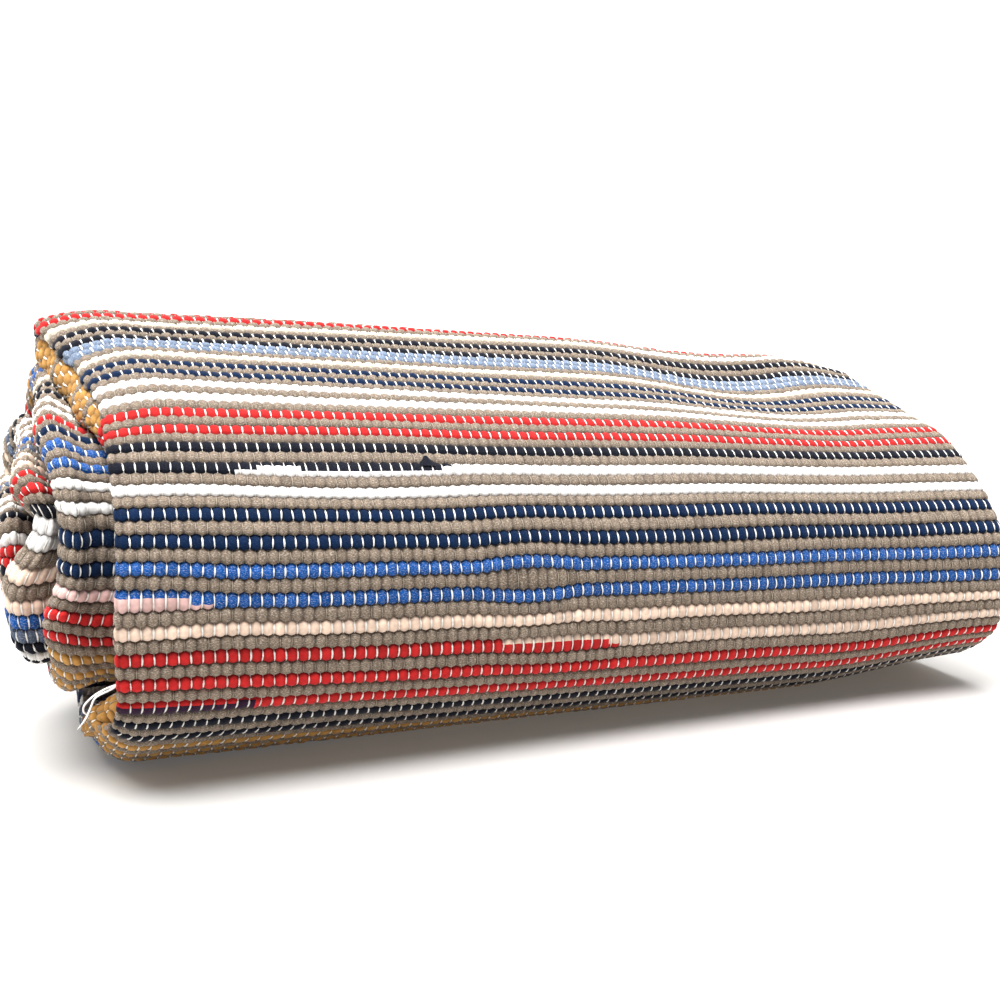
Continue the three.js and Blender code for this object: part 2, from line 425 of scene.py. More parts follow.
# The first wrap's own fold shows other rows: the first and last row of each run, and its dye.
FIRST_NOSE_ROWS = (
    (-33, -33, "grey_blue"), (-31, -31, "navy"), (-29, -28, "grey_blue"), (-26, -23, "gold"),
    (-22, -22, "taupe"), (-21, -16, "gold"), (-15, -15, "taupe"), (-14, -14, "gold"),
    (10, 10, "navy"), (11, 11, "taupe"), (12, 13, "red"), (14, 16, "gold"), (17, 17, "taupe"),
    (18, 20, "gold"), (21, 21, "taupe"), (22, 26, "gold"), (27, 27, "taupe"), (28, 32, "gold"),
    (34, 34, "taupe"), (36, 36, "gold"),
)

# The order of dyes further in, repeated over every second row of these stretches of rows.
INNER_ORDER = (
    "white", "white", "black", "grey_blue", "peach", "peach", "black", "red", "white", "black",
    "navy", "white", "royal", "black", "red", "cream", "gold", "grey_blue",
)
INNER_STRETCHES = ((64, 79), (134, 157), (196, 225), (237, 250))
ROWS_BEFORE_HEM = 4
ROWS_PAST_END = 8

# Where one strip ends and the next begins: for some stitches, both lie in one row and share it.
# Each line has the row, the first and last stitch, the heights in the row that the other strip lies
# between (all of it from -1 to 1), and its dye.
JOINS = (
    (6, -9, 10, -1.0, 1.0, "black"),
    (6, 10, 12, -0.05, 1.0, "black"),
    (6, 12, 16, 0.05, 1.0, "black"),
    (6, 16, 29.4, -0.05, 1.0, "black"),
    (6, 29.4, 30.6, 0.05, 1.0, "black"),
    (-4, -9, 5.4, -1.0, 0.08, "pink"),
    (-4, 5.4, 7.4, -1.0, -0.05, "pink"),
    (-8, 33.5, 44.3, 0.05, 1.0, "peach"),
    (-8, 44.3, 45.5, -0.05, 1.0, "peach"),
    (-8, 45.5, 120, -1.0, 1.0, "peach"),
    (-12, -9, 9.5, -1.0, 0.05, "plum"),
    (-12, 9.5, 11, -1.0, 0.35, "plum"),
    (34, 24, 64, -1.0, 1.0, "cream"),
    (30, 60, 120, -1.0, 1.0, "white"),
)

# Rows that swell where two strips lie in them: the row, the stitches, and the added share of a row.
SWELLINGS = (
    (-3, 31, 41.5, 0.72),
    (6, 8, 32, 0.42),
    (-4, -9, 9, 0.55),
    (-8, 32, 46, 0.42),
    (-12, -8, 12, 0.30),
)
SWELLING_REACH = 4.0

# Rows of the front that lie a little higher than an even spacing would put them, in rows.
ROW_LIFT = {
    "row": (-12, -8, -4, 0, 2, 4, 6, 8, 10, 14, 20, 26),
    "lift": (0, 0, 0.04, 0.08, 0.26, 0.26, 0.32, 0.42, 0.28, 0.14, 0, 0),
}


def row_dyes():
    """The first row, and the dye of every row from there on, as an index into the dyes."""
    first, last = HEM_ROW - ROWS_BEFORE_HEM, int(row_at(END_WRAP)) + ROWS_PAST_END
    chart = {row: "taupe" for row in range(first, last + 1)}
    for start, stop in INNER_STRETCHES:
        for k, row in enumerate(range(start, stop, 2)):
            chart[row] = INNER_ORDER[k % len(INNER_ORDER)]
    for table in (OUTER_ROWS, SECOND_WRAP_ROWS, THIRD_WRAP_ROWS, FOURTH_WRAP_ROWS):
        chart.update(table)
    index = [DYE_NAMES.index(chart[row]) for row in range(first, last + 1)]
    return first, np.array(index)


FIRST_ROW, ROW_DYES = row_dyes()


def dye_of(stitch, row, side, on_outer):
    """The dye of each place: its stitch, its row and its height in the row (-0.5 to 0.5)."""
    dye = ROW_DYES[row - FIRST_ROW]
    if not on_outer:
        for first, last, name in FIRST_NOSE_ROWS:
            dye = np.where((row >= first) & (row <= last), DYE_NAMES.index(name), dye)
        return dye
    for join_row, start, stop, low, high, name in JOINS:
        here = (row == join_row) & (stitch >= start) & (stitch < stop) & (side > low) & (side < high)
        dye = np.where(here, DYE_NAMES.index(name), dye)
    return dye


def swollen(stitch, row):
    """Row numbers moved apart where two strips share a row, and lifted on the front."""
    moved = row + table_value(ROW_LIFT, "row", "lift", row)
    for swollen_row, start, stop, added in SWELLINGS:
        half = (stop - start) / 2
        away = np.clip(np.abs(stitch - start - half) / half, 0, 1)
        window = np.sqrt(smooth(1 - away))
        distance = row - swollen_row
        beyond = np.maximum(np.abs(distance) - 0.5, 0) / SWELLING_REACH
        moved += added * window * np.clip(distance, -0.5, 0.5) * np.exp(-beyond ** 2)
    return moved


# Random values that every run draws alike: one for each bead, one for each row, and slow waves.
SEED = 29
MOST_ROWS, MOST_STITCHES = 640, 160
BEAD_ROW_SHIFT = 200
BEAD_STITCH_SHIFT = 30
WAVE_COUNT = 7
random = np.random.default_rng(SEED)
BEADS = random.normal(0, 1, (MOST_ROWS, MOST_STITCHES))
ROW_NOISE = random.normal(0, 1, MOST_ROWS)
WAVES = [
    (random.uniform(0.02, 0.16), random.uniform(0.05, 0.7), random.uniform(0, 6.3))
    for _ in range(WAVE_COUNT)
]


def wander(stitch, row):
    """A slow, uneven wandering of the rows, in rows."""
    total = np.zeros_like(stitch + row)
    for along, over, phase in WAVES:
        total += np.sin(along * 2 * math.pi * stitch / WANDER_STITCHES + over * row + phase)
    return ROW_WANDER * total / WAVE_COUNT


def settled(placed, stitch, row, on_outer):
    """Where rows come to lie: swollen on the outermost wrap, and wandering everywhere."""
    if on_outer:
        placed = swollen(stitch, placed)
    return placed + wander(stitch, row)


def bead_phase(row):
    """Plain weave: the beads of every second row are set half a stitch on."""
    return 0.5 * (row % 2)


def pinch_at(stitch, phase=0.0):
    """How near a place is to the warp thread between two beads, from 0 to 1."""
    local = (stitch - phase + 0.5) % 1 - 0.5
    return np.exp(-((0.5 - np.abs(local)) / PINCH_WIDTH) ** 2)


def relief(stitch, row, side):
    """Depth below the skin: ribs along the rows, pinched where a warp thread crosses over."""
    phase = bead_phase(row)
    number = np.floor(stitch - phase + 0.5).astype(int)
    jitter = BEAD_JITTER * BEADS[row + BEAD_ROW_SHIFT, number + BEAD_STITCH_SHIFT]
    jitter = jitter + ROW_JITTER * ROW_NOISE[row + BEAD_ROW_SHIFT]
    fullness = np.clip(1 + jitter - BEAD_SETTLE, *BEAD_FULLNESS)
    rib = np.sqrt(np.clip(1 - np.abs(2 * side) ** RIB_POWER, 0, 1))
    return GROOVE * (1 - rib * (1 - PINCH * pinch_at(stitch, phase)) * fullness)


def brick(stitch, row, side):
    """Rows widen at their beads and narrow between them."""
    return side * 2 * BRICK * np.cos(2 * math.pi * (stitch - bead_phase(row)))


# Paths of the cloth's faces across the width, in the plane of width and depth.
PATH_STEP = 0.4
TURN = PLY_PITCH / 2
RIGHT_CENTRE = (WIDTH - TURN - HALF, HALF + TURN)
SELVEDGE_CENTRE = (HALF - SELVEDGE_ROUND, HALF)
SELVEDGE_TUCK = 9.0
FIRST_PLY_START = 10.0
RETURN_LENGTH = 16.0
LEFT_TUCK = 44.0
NOSE_STEPS = 37
NECK = {"behind": 1.0, "past_selvedge": 0.5, "before": 1.5, "after": 0.5, "bulge": 0.3}


class Path:
    """A line with its own length, measured from a named point, and the way out of the cloth."""

    def __init__(self, points, origin, outward):
        self.points = np.array(points, float)
        self.along = lengths(self.points)
        self.along -= self.along[origin]
        self.outward = outward

    def point(self, along):
        """The place across the width, and the depth."""
        return np.stack([np.interp(along, self.along, values) for values in self.points.T])

    def at(self, along):
        """The point, and the direction out of the cloth, across the width and in depth."""
        x, depth = self.point(along)
        dx, dn = self.point(along + PATH_STEP) - self.point(along - PATH_STEP)
        size = np.maximum(np.hypot(dx, dn), TINY)
        return x, depth, self.outward * dn / size, -self.outward * dx / size


def arc_points(centre, radius, start, end, steps=24):
    angles = np.radians(np.linspace(start, end, steps))
    return [(centre[0] + radius * math.cos(a), centre[1] + radius * math.sin(a)) for a in angles]


def line_points(start, end, steps=12):
    return [tuple(mix(np.array(start, float), np.array(end, float), f)) for f in np.linspace(0, 1, steps)]


def right_turn():
    """Round the right fold and a little back."""
    points = arc_points(RIGHT_CENTRE, TURN + HALF, -90, 90)
    end_x, end_depth = points[-1]
    return points + line_points((end_x, end_depth), (end_x - RETURN_LENGTH, end_depth))[1:]


def outer_path():
    """Round the first selvedge, out along the first ply, round the right fold and a little back."""
    selvedge = arc_points(SELVEDGE_CENTRE, HALF, 90, 270)
    right = right_turn()
    points = line_points((SELVEDGE_TUCK, CLOTH), selvedge[0]) + selvedge[1:]
    origin = len(points)
    points += [(HALF, 0.0)] + line_points((FIRST_PLY_START, 0.0), right[0]) + right[1:]
    return Path(points, origin, 1)


def right_path():
    """The right fold alone, for the wraps inside the outermost."""
    right = right_turn()
    points = line_points((RIGHT_CENTRE[0] - RETURN_LENGTH, 0.0), right[0])
    return Path(points + right[1:], len(points) - 1, 1)


def hem_path():
    """The third ply's inward face all along the width, which shows behind the bundle."""
    depth = THIRD_PLY + HALF
    return Path(line_points((0.0, depth), (WIDTH - INNER_SELVEDGE_INSET, depth)), 0, -1)


def nose_at(wrap):
    """How far the left fold's nose reaches and how fat it is, at a place on the route."""
    return float(step_value(NOSES, "reach", wrap)), float(step_value(LEFT_END, "fat", wrap))


def nose_shape(reach, fat):
    """The centre of the left fold's nose, its turning radius, and where it leaves the plies."""
    turn = mix((PLY_PITCH + NOSE_DROP) / 2, FAT_NOSE_RADIUS - HALF, fat)
    centre = (turn + HALF - reach, THIRD_PLY + NOSE_DROP - turn)
    neck = max(centre[0] + NECK["behind"], -SELVEDGE_ROUND - NECK["past_selvedge"])
    return centre, turn, neck


def left_path(reach, fat):
    """The second ply's outward face, round the left fold's nose, and the third ply's inward face."""
    centre, turn, neck = nose_shape(reach, fat)
    face = SECOND_PLY - HALF
    nose = arc_points(centre, turn + HALF, 270, 90, NOSE_STEPS)
    points = line_points((LEFT_TUCK, face), (neck + NECK["before"], face))
    points += line_points((neck - NECK["after"], face - NECK["bulge"] * fat), nose[0], steps=6)
    points += nose[1:]
    origin = len(points) - 1 - NOSE_STEPS // 2
    points += line_points(nose[-1], (LEFT_TUCK, THIRD_PLY + HALF))[1:]
    return Path(points, origin, -1)


def always(path):
    """A path that is the same all along the route."""
    def path_at(wrap):
        return path
    return path_at


outer_path_at = always(outer_path())
right_path_at = always(right_path())
hem_path_at = always(hem_path())
WRAP_DIGITS = 3
LEFT_PATHS = {}


def left_path_at(wrap):
    key = round(float(wrap), WRAP_DIGITS)
    if key not in LEFT_PATHS:
        LEFT_PATHS[key] = left_path(*nose_at(key))
    return LEFT_PATHS[key]


def add_mesh(name, points, faces, colours, maps=None, painted_shade=None):
    """A mesh object from points in millimetres and quads. The dye is for all faces, or one for each."""
    mesh = bpy.data.meshes.new(name)
    mesh.vertices.add(len(points))
    mesh.vertices.foreach_set("co", (np.asarray(points) * MM).astype(np.float32).ravel())
    corners = faces.shape[1]
    mesh.loops.add(faces.size)
    mesh.loops.foreach_set("vertex_index", faces.ravel().astype(np.int32))
    mesh.polygons.add(len(faces))
    mesh.polygons.foreach_set("loop_start", np.arange(0, faces.size, corners, dtype=np.int32))
    mesh.update(calc_edges=True)
    mesh.polygons.foreach_set("use_smooth", np.ones(len(faces), bool))
    colours = np.broadcast_to(colours, (len(faces), 4))
    layer = mesh.attributes.new("dye", "FLOAT_COLOR", "CORNER")
    layer.data.foreach_set("color", np.repeat(colours, corners, axis=0).astype(np.float32).ravel())
    if maps is not None:
        layer = mesh.uv_layers.new(name="weave")
        layer.data.foreach_set("uv", maps[faces.ravel()].astype(np.float32).ravel())
    # The amount of painted shade at each point, which the weave material multiplies into the colour.
    if painted_shade is not None:
        layer = mesh.attributes.new("painted_shade", "FLOAT", "POINT")
        layer.data.foreach_set("value", painted_shade.astype(np.float32).ravel())
    mesh.validate()
    piece = bpy.data.objects.new(name, mesh)
    bpy.context.scene.collection.objects.link(piece)
    return piece


def quads_between(first, second, third, fourth):
    """Quads whose corners are at the same places of four grids of point numbers."""
    return np.stack([first, second, third, fourth], -1).reshape(-1, 4)


def grid_faces(columns, rows, flipped):
    index = np.arange(columns * rows).reshape(columns, rows)
    faces = quads_between(index[:-1, :-1], index[1:, :-1], index[1:, 1:], index[:-1, 1:])
    return faces[:, ::-1] if flipped else faces


def end_caps(ring, turned):
    """Quads that close a ring of points, each between its two sides."""
    last = len(ring) - 1
    steps = range(len(ring) // 2 - 1)
    caps = np.array([[ring[k], ring[k + 1], ring[last - 1 - k], ring[last - k]] for k in steps])
    return caps[:, ::-1] if turned else caps


# How finely a woven face is meshed: points for each stitch, and their heights within a row.
FINE_SIDES = (-0.5, -0.40, -0.17, 0.17, 0.40)
PLAIN_SIDES = (-0.5, -0.34, 0.0, 0.34)
FINE_MESH = {"per_stitch": 5, "sides": FINE_SIDES}
MEDIUM_MESH = {"per_stitch": 4, "sides": PLAIN_SIDES}
PLAIN_MESH = {"per_stitch": 3, "sides": PLAIN_SIDES}
ROW_EDGE = 1e-6


def weave_places(first_row, last_row, sides):
    rows = [row + side for row in range(first_row, last_row + 1) for side in sides]
    return np.array(rows + [last_row + 0.5])


def cloth_points(path_of, stitch, row_number, fold_x):
    """A grid of points of a woven face, and how deep, at which stitch and in which row each lies."""
    row = np.floor(row_number + 0.5 - ROW_EDGE).astype(int)
    stitches, rows = np.meshgrid(stitch, row_number, indexing="ij")
    row_grid = np.broadcast_to(row, stitches.shape)
    side_grid = np.broadcast_to(row_number - row, stitches.shape)
    depth = relief(stitches, row_grid, side_grid)
    placed = rows + brick(stitches, row_grid, side_grid)
    placed = settled(placed, stitches, rows, fold_x is None)
    across = stitch * STITCH
    if fold_x is None:
        line = path_of(0.0).at(across)
        wrap = route_of(placed, line[0])
        line = [values[:, None] for values in line]
    else:
        wrap = route_of(placed, np.full(len(stitch), fold_x))
        line = np.stack([path_of(w).at(across) for w in wrap.mean(0)], -1)
    x, inset, out_x, out_depth = line
    return place(x - out_x * depth, wrap, inset - out_depth * depth), depth, stitches, rows


def woven_face(name, path_of, outward, stitches, rows, fineness, fold_x=None):
    """One face of the cloth with its weave in relief, coloured row by row. path_of gives the path at
    a place on the route. The face of a fold, at fold_x, follows the rows there."""
    cells = round((stitches[1] - stitches[0]) * fineness["per_stitch"])
    stitch = np.linspace(*stitches, cells + 1)
    row_number = weave_places(*rows, fineness["sides"])
    points, depth, stitch_grid, row_grid = cloth_points(path_of, stitch, row_number, fold_x)
    faces = grid_faces(len(stitch), len(row_number), outward < 0)
    middle_row = (row_number[1:] + row_number[:-1]) / 2
    row = np.round(middle_row).astype(int)
    cell_stitch, cell_row = np.meshgrid((stitch[1:] + stitch[:-1]) / 2, row, indexing="ij")
    cell_side = np.broadcast_to(middle_row - row, cell_row.shape)
    dyes = dye_of(cell_stitch, cell_row, cell_side, fold_x is None)
    colours = DYE_VALUES[dyes.ravel()]
    maps = np.stack([stitch_grid.ravel(), row_grid.ravel()], -1)
    # The relief's depth becomes the amount of painted shade, so the grooves are painted darker.
    return add_mesh(name, points.reshape(-1, 3), faces, colours, maps, depth.ravel() / GROOVE)


# The cloth itself: a thinner folded sheet that carries the woven faces.
CORE_STATIONS = (0.02, 0.06, 0.12, 0.25, 0.40, 0.55, 0.63, 0.68, 0.72, 0.76, 0.80, 0.84, 0.90, 0.95)
CORE_INSET = 2.1
# The core cloth is painted darker all over: a fixed amount of painted shade.
CORE_PAINTED_SHADE = 0.75
CORE_STITCHES = 280
EVEN_REACH = 3.0


def core_line(reach, fat):
    """The middle line of the three plies."""
    centre, turn, neck = nose_shape(reach, fat)
    stations = [station * WIDTH for station in CORE_STATIONS]
    points = [(HALF, HALF)] + [(x, HALF) for x in stations]
    points += arc_points(RIGHT_CENTRE, TURN, -90, 90, steps=9)
    points += [(x, SECOND_PLY) for x in reversed(stations[1:])] + [(neck, SECOND_PLY)]
    points += arc_points(centre, turn, 270, 90, steps=13)
    points += [(neck, THIRD_PLY)] + [(x, THIRD_PLY) for x in stations[1:]]
    points += [(WIDTH - INNER_SELVEDGE_INSET, THIRD_PLY)]
    return np.array(points)


def core_outline(reach, fat):
    """The sheet's outline, both sides of the middle line."""
    line = core_line(reach, fat)
    direction = np.zeros_like(line)
    direction[1:-1] = line[2:] - line[:-2]
    direction[0] = line[1] - line[0]
    direction[-1] = line[-1] - line[-2]
    direction /= np.linalg.norm(direction, axis=1)[:, None]
    aside = np.stack([direction[:, 1], -direction[:, 0]], -1) * (HALF - CORE_INSET)
    return np.concatenate([line + aside, (line - aside)[::-1]])


def core_cloth():
    """The whole folded cloth in one closed sheet, row by row along the route."""
    last = int(row_at(END_WRAP))
    row_number = np.concatenate([[HEM_ROW], np.arange(HEM_ROW + 0.5, last, 1.0), [last]])
    rings = []
    for wrap in route_of(row_number[None, :], [WIDTH / 2])[0]:
        outline = core_outline(*nose_at(wrap))
        rings.append(place(outline[:, 0], wrap, outline[:, 1]))
    count = len(rings[0])
    points = np.concatenate(rings)
    index = np.arange(len(points)).reshape(len(rings), count)
    around = np.roll(index, -1, axis=1)
    walls = quads_between(index[:-1], around[:-1], around[1:], index[1:])
    faces = np.concatenate([walls, end_caps(index[0], True), end_caps(index[-1], False)])
    rows = np.round((row_number[:-1] + row_number[1:]) / 2).astype(int)
    dyes = np.full(len(faces), TAUPE)
    dyes[:len(walls)] = np.repeat(ROW_DYES[rows - FIRST_ROW], count)
    stitch = np.tile(np.linspace(0, CORE_STITCHES, count), len(rings))
    maps = np.stack([stitch, np.repeat(row_number, count)], -1)
    return add_mesh("rug_cloth", points, faces, DYE_VALUES[dyes], maps, np.full(len(points), CORE_PAINTED_SHADE))


# White warp threads where they cross over a weft row, three points wide.
THREAD_SIDES = np.array([-0.60, -0.44, -0.22, 0.0, 0.22, 0.44, 0.60])
THREAD_WIDTHS = np.array([0.45, 0.85, 1.0, 1.0, 1.0, 0.85, 0.45])
THREAD_ACROSS = np.array([-1.0, 0.0, 1.0])
THREAD_HALF = 0.078
THREAD_TOP = 0.15
THREAD_EDGE = 0.55
THREAD_ARCH = 2.2
THREAD_FOOT = 1.3
THREAD_LEAN = 0.05
THREAD_UNEVEN = (0.8, 1.15)
TAUPE_SHARE = 0.55
TAUPE_WIDTH = 0.45
WHITE_THREAD = (0.86, 0.84, 0.80, 1.0)
TAUPE_THREAD = (0.42, 0.36, 0.29, 1.0)


def warp_crossings(stitches, rows):
    """The stitch, row, lean and width of each crossing that shows, and whether its row is dyed."""
    found = []
    for row in range(rows[0], rows[1] + 1):
        dyed = ROW_DYES[row - FIRST_ROW] != TAUPE
        for number in range(*stitches):
            chance = random.uniform(0, 1)
            lean = random.normal(0, THREAD_LEAN)
            width = random.uniform(*THREAD_UNEVEN) * (1 if dyed else TAUPE_WIDTH)
            if dyed or chance < TAUPE_SHARE:
                found.append((number + 0.5 + bead_phase(row), row, lean, width, dyed))
    return np.array(found)


def thread_faces(count):
    """Quads of separate strips, each three points wide."""
    long, wide = len(THREAD_SIDES), len(THREAD_ACROSS)
    corner = wide * np.arange(long - 1)[:, None] + np.arange(wide - 1)
    strip = corner.reshape(-1, 1) + np.array([0, 1, wide + 1, wide])
    return (long * wide * np.arange(count)[:, None, None] + strip).reshape(-1, 4)


def follow_path(path_of, stitch, placed, fold_x):
    """The path's place, depth and way out at each point, and the point's place on the route."""
    if fold_x is None:
        line = path_of(0.0).at(stitch * STITCH)
        return line, route_of(placed[:, None], line[0])[:, 0]
    wrap = np.interp(placed, rows_across(fold_x), ROUTE)
    line = np.zeros((4, len(placed)))
    steps = np.round(wrap, WRAP_DIGITS)
    for step in np.unique(steps):
        here = steps == step
        line[:, here] = path_of(step).at(stitch[here] * STITCH)
    return line, wrap


def warp_threads(name, path_of, outward, stitches, rows, fold_x=None):
    """Short arched threads over the rows."""
    crossings = warp_crossings(stitches, rows)
    middle, row, lean, width, dyed = [column[:, None, None] for column in crossings.T]
    sides = THREAD_SIDES[:, None]
    stitch = middle + lean * sides + THREAD_ACROSS * THREAD_HALF * width * THREAD_WIDTHS[:, None]
    arch = np.minimum((2 * np.abs(sides)) ** THREAD_ARCH, THREAD_FOOT)
    depth = THREAD_TOP + (GROOVE - THREAD_TOP) * arch + np.abs(THREAD_ACROSS) * THREAD_EDGE
    row_number = (row + sides + 0 * stitch).ravel()
    depth = (depth + 0 * stitch).ravel()
    stitch = stitch.ravel()
    placed = settled(row_number, stitch, row_number, fold_x is None)
    (x, inset, out_x, out_depth), wrap = follow_path(path_of, stitch, placed, fold_x)
    points = place(x - out_x * depth, wrap, inset - out_depth * depth)
    faces = thread_faces(len(crossings))
    colours = np.where(dyed[:, 0] > 0, WHITE_THREAD, TAUPE_THREAD)
    colours = np.repeat(colours, len(faces) // len(crossings), axis=0)
    maps = np.stack([stitch, row_number], -1)
    return add_mesh(name, points, faces[:, ::outward], colours, maps)


# The cut end of the cloth behind the bundle: where each ply's last row starts and stops, in stitches.
HEM_PLIES = ((HALF, 0.6, 88.5), (SECOND_PLY, 2.2, 88.5), (THIRD_PLY, 2.2, 86.5))
HEM_PER_STITCH = 4
HEM_BULGE_STEPS = 7
HEM_PINCH = 0.35
HEM_PAINTED_SHADE = 0.8


def hem_row(number, depth, start, stop):
    """The last weft row of one ply, as it bulges from the cut end."""
    stitch = np.linspace(start, stop, int((stop - start) * HEM_PER_STITCH) + 1)
    turn = np.radians(np.linspace(-90, 90, HEM_BULGE_STEPS))
    pinch = pinch_at(stitch)[:, None]
    radius = HALF * (1 - HEM_PINCH * pinch)
    points = place(stitch[:, None] * STITCH, 0.0, depth + radius * np.sin(turn))
    points[..., 1] += radius * np.cos(turn)
    faces = grid_faces(len(stitch), HEM_BULGE_STEPS, True)
    grid = np.meshgrid(stitch, HEM_ROW + turn / math.pi, indexing="ij")
    maps = np.stack([grid[0].ravel(), grid[1].ravel()], -1)
    # Painted shade at the pinches between the beads of the last row.
    painted_shade = (pinch + 0 * turn).ravel() * HEM_PAINTED_SHADE
    return add_mesh(f"hem_row_{number}", points.reshape(-1, 3), faces, DYES["taupe"], maps, painted_shade)


# Loose ends: the black strip's cut end that stands out of row 6, and two frayed warp threads at the
# lower left corner, in the frame's millimetres.
CUT_END = {
    "stitch": 28.7, "row": 6.20, "width": 2.0, "height": 0.95, "bulge": 1.6, "sunk": 0.8,
    "taper": 0.8, "flatter": 0.3, "painted_shade": 0.2,
}
CUT_END_GRID = (9, 6)
FRAYED_THREADS = (
    ((-220, -120, 61), (-229, -121, 59.5), (-236, -121, 56.5), (-241, -120, 52), (-241.5, -118, 48),
     (-239, -116, 45.5)),
    ((-220, -120, 62.5), (-229, -122, 58.5), (-236, -122, 55.5), (-238.5, -122, 51), (-241, -122, 46),
     (-245, -123, 41.5)),
)
FRAYED_RADIUS = 0.5
FRAYED_ROUND = 6
FRAYED_STEPS = 24
FRAYED_TAPER = 4
FRAYED_TIP = 0.3


def cut_end():
    """A short dark end of a strip, standing up out of its row."""
    columns, rows = CUT_END_GRID
    across, along = np.meshgrid(np.linspace(-1, 1, columns), np.linspace(0, 1, rows), indexing="ij")
    across, along = across.ravel(), along.ravel()
    stitch = CUT_END["stitch"] + across * CUT_END["width"] / 2 * (1 - CUT_END["taper"] * along)
    row = CUT_END["row"] + CUT_END["height"] * along
    bulge = CUT_END["bulge"] * (1 - across ** 2) * (1 - CUT_END["flatter"] * along ** 2)
    x = stitch * STITCH
    wrap = route_of(swollen(stitch, row)[:, None], x)[:, 0]
    points = place(x, wrap, CUT_END["sunk"] - bulge)
    maps = np.stack([stitch, row], -1)
    # The whole cut end carries a little painted shade.
    painted_shade = np.full(len(points), CUT_END["painted_shade"])
    return add_mesh("cut_strip_end", points, grid_faces(columns, rows, False), DYES["black"], maps, painted_shade)


def smooth_line(points, steps):
    """A curve through the points, at even steps of their numbering."""
    points = np.array(points, float)
    slopes = np.gradient(points, axis=0)
    at = np.linspace(0, len(points) - 1, steps)
    i = np.minimum(at.astype(int), len(points) - 2)
    f = (at - i)[:, None]
    ease = f * (1 - f) * ((1 - f) * slopes[i] - f * slopes[i + 1])
    return mix(points[i], points[i + 1], smooth(f)) + ease


def frayed_thread(name, points):
    """A thin round thread with closed ends."""
    line = smooth_line(points, FRAYED_STEPS)
    ahead = np.gradient(line, axis=0)
    ahead /= np.linalg.norm(ahead, axis=1)[:, None]
    side = np.cross(ahead, (0.0, 1.0, 0.0))
    side /= np.linalg.norm(side, axis=1)[:, None]
    other = np.cross(side, ahead)
    turn = (np.arange(FRAYED_ROUND) * 2 * math.pi / FRAYED_ROUND)[:, None]
    ring = np.cos(turn) * side[:, None] + np.sin(turn) * other[:, None]
    radius = FRAYED_RADIUS * np.minimum(1, np.linspace(1, 0, FRAYED_STEPS) * FRAYED_TAPER + FRAYED_TIP)
    points = line[:, None] + ring * radius[:, None, None]
    index = np.arange(FRAYED_STEPS * FRAYED_ROUND).reshape(FRAYED_STEPS, FRAYED_ROUND)
    around = np.roll(index, -1, axis=1)
    walls = quads_between(index[:-1], index[1:], around[1:], around[:-1])
    faces = np.concatenate([walls, end_caps(index[0], False), end_caps(index[-1], True)])
    return add_mesh(name, points.reshape(-1, 3), faces, WHITE_THREAD)


class Socket:
    """A node's output that can be used in an expression."""

    def __init__(self, tree, link):
        self.tree = tree
        self.link = link

    def math(self, operation, *others, clamp=False):
        return self.tree.node("Math", {"operation": operation, "use_clamp": clamp}, [self, *others])

    def __add__(self, other):
        return self.math("ADD", other)

    def __sub__(self, other):
        return self.math("SUBTRACT", other)

    def __mul__(self, other):
        return self.math("MULTIPLY", other)

    def __rsub__(self, other):
        return self.tree.node("Math", {"operation": "SUBTRACT"}, [other, self])

    __radd__ = __add__
    __rmul__ = __mul__


# The Mix node's sockets for colours, by number, because other kinds of value share their names.
MIX_FACTOR, MIX_FIRST, MIX_SECOND, MIX_COLOUR = 0, 6, 7, 2


class Tree:
    """The nodes of a material or a world, added by type with their settings and inputs."""

    def __init__(self, owner, shader="Principled BSDF"):
        owner.use_nodes = True
        self.nodes = owner.node_tree.nodes
        self.links = owner.node_tree.links
        self.shader = self.nodes[shader]

    def node(self, kind, settings=None, inputs=(), output=0):
        made = self.nodes.new("ShaderNode" + kind)
        for name, value in (settings or {}).items():
            setattr(made, name, value)
        pairs = inputs.items() if isinstance(inputs, dict) else enumerate(inputs)
        for key, value in pairs:
            self.join(value, made.inputs[key])
        return Socket(self, made.outputs[output])

    def join(self, value, target):
        if isinstance(value, Socket):
            self.links.new(value.link, target)
        else:
            target.default_value = value

    def finish(self, inputs):
        """Sets the shader's own inputs."""
        for name, value in inputs.items():
            self.join(value, self.shader.inputs[name])

    def noise(self, place_link, scale, detail, **more):
        inputs = {"Vector": place_link, "Scale": scale, "Detail": detail, **more}
        return self.node("TexNoise", {}, inputs)

    def bump(self, strength, distance, height):
        return self.node("Bump", {}, {"Strength": strength, "Distance": distance, "Height": height})

    def blend(self, factor, first, second, kind="MIX"):
        """Mixes two colours."""
        inputs = {MIX_FACTOR: factor, MIX_FIRST: first, MIX_SECOND: second}
        return self.node("Mix", {"data_type": "RGBA", "blend_type": kind}, inputs, MIX_COLOUR)

    def shaded(self, colour, brightness):
        """A colour made darker or lighter."""
        return self.blend(1.0, colour, self.node("CombineColor", {}, [brightness] * 3), "MULTIPLY")


# The looks of the strips: noise scales, how much of the noise shows as flecks, and their colours.
FLECK_SCALE = 5.0
CLOUD_SCALE = 260.0
FIBRE_SCALE = 1500.0
WARP_FIBRE_SCALE = 900.0
LIGHT_ABOVE = 0.52
DARK_BELOW = 0.47
LIGHT_FLECK = (0.72, 0.68, 0.62, 1.0)
DARK_FLECK = (0.035, 0.030, 0.028, 1.0)
# A dark tint multiplied into the colour as painted shade in the grooves between rows and beads.
PAINTED_SHADE_TINT = (0.22, 0.20, 0.20, 1.0)
FLECK_CONTRAST = 7.0


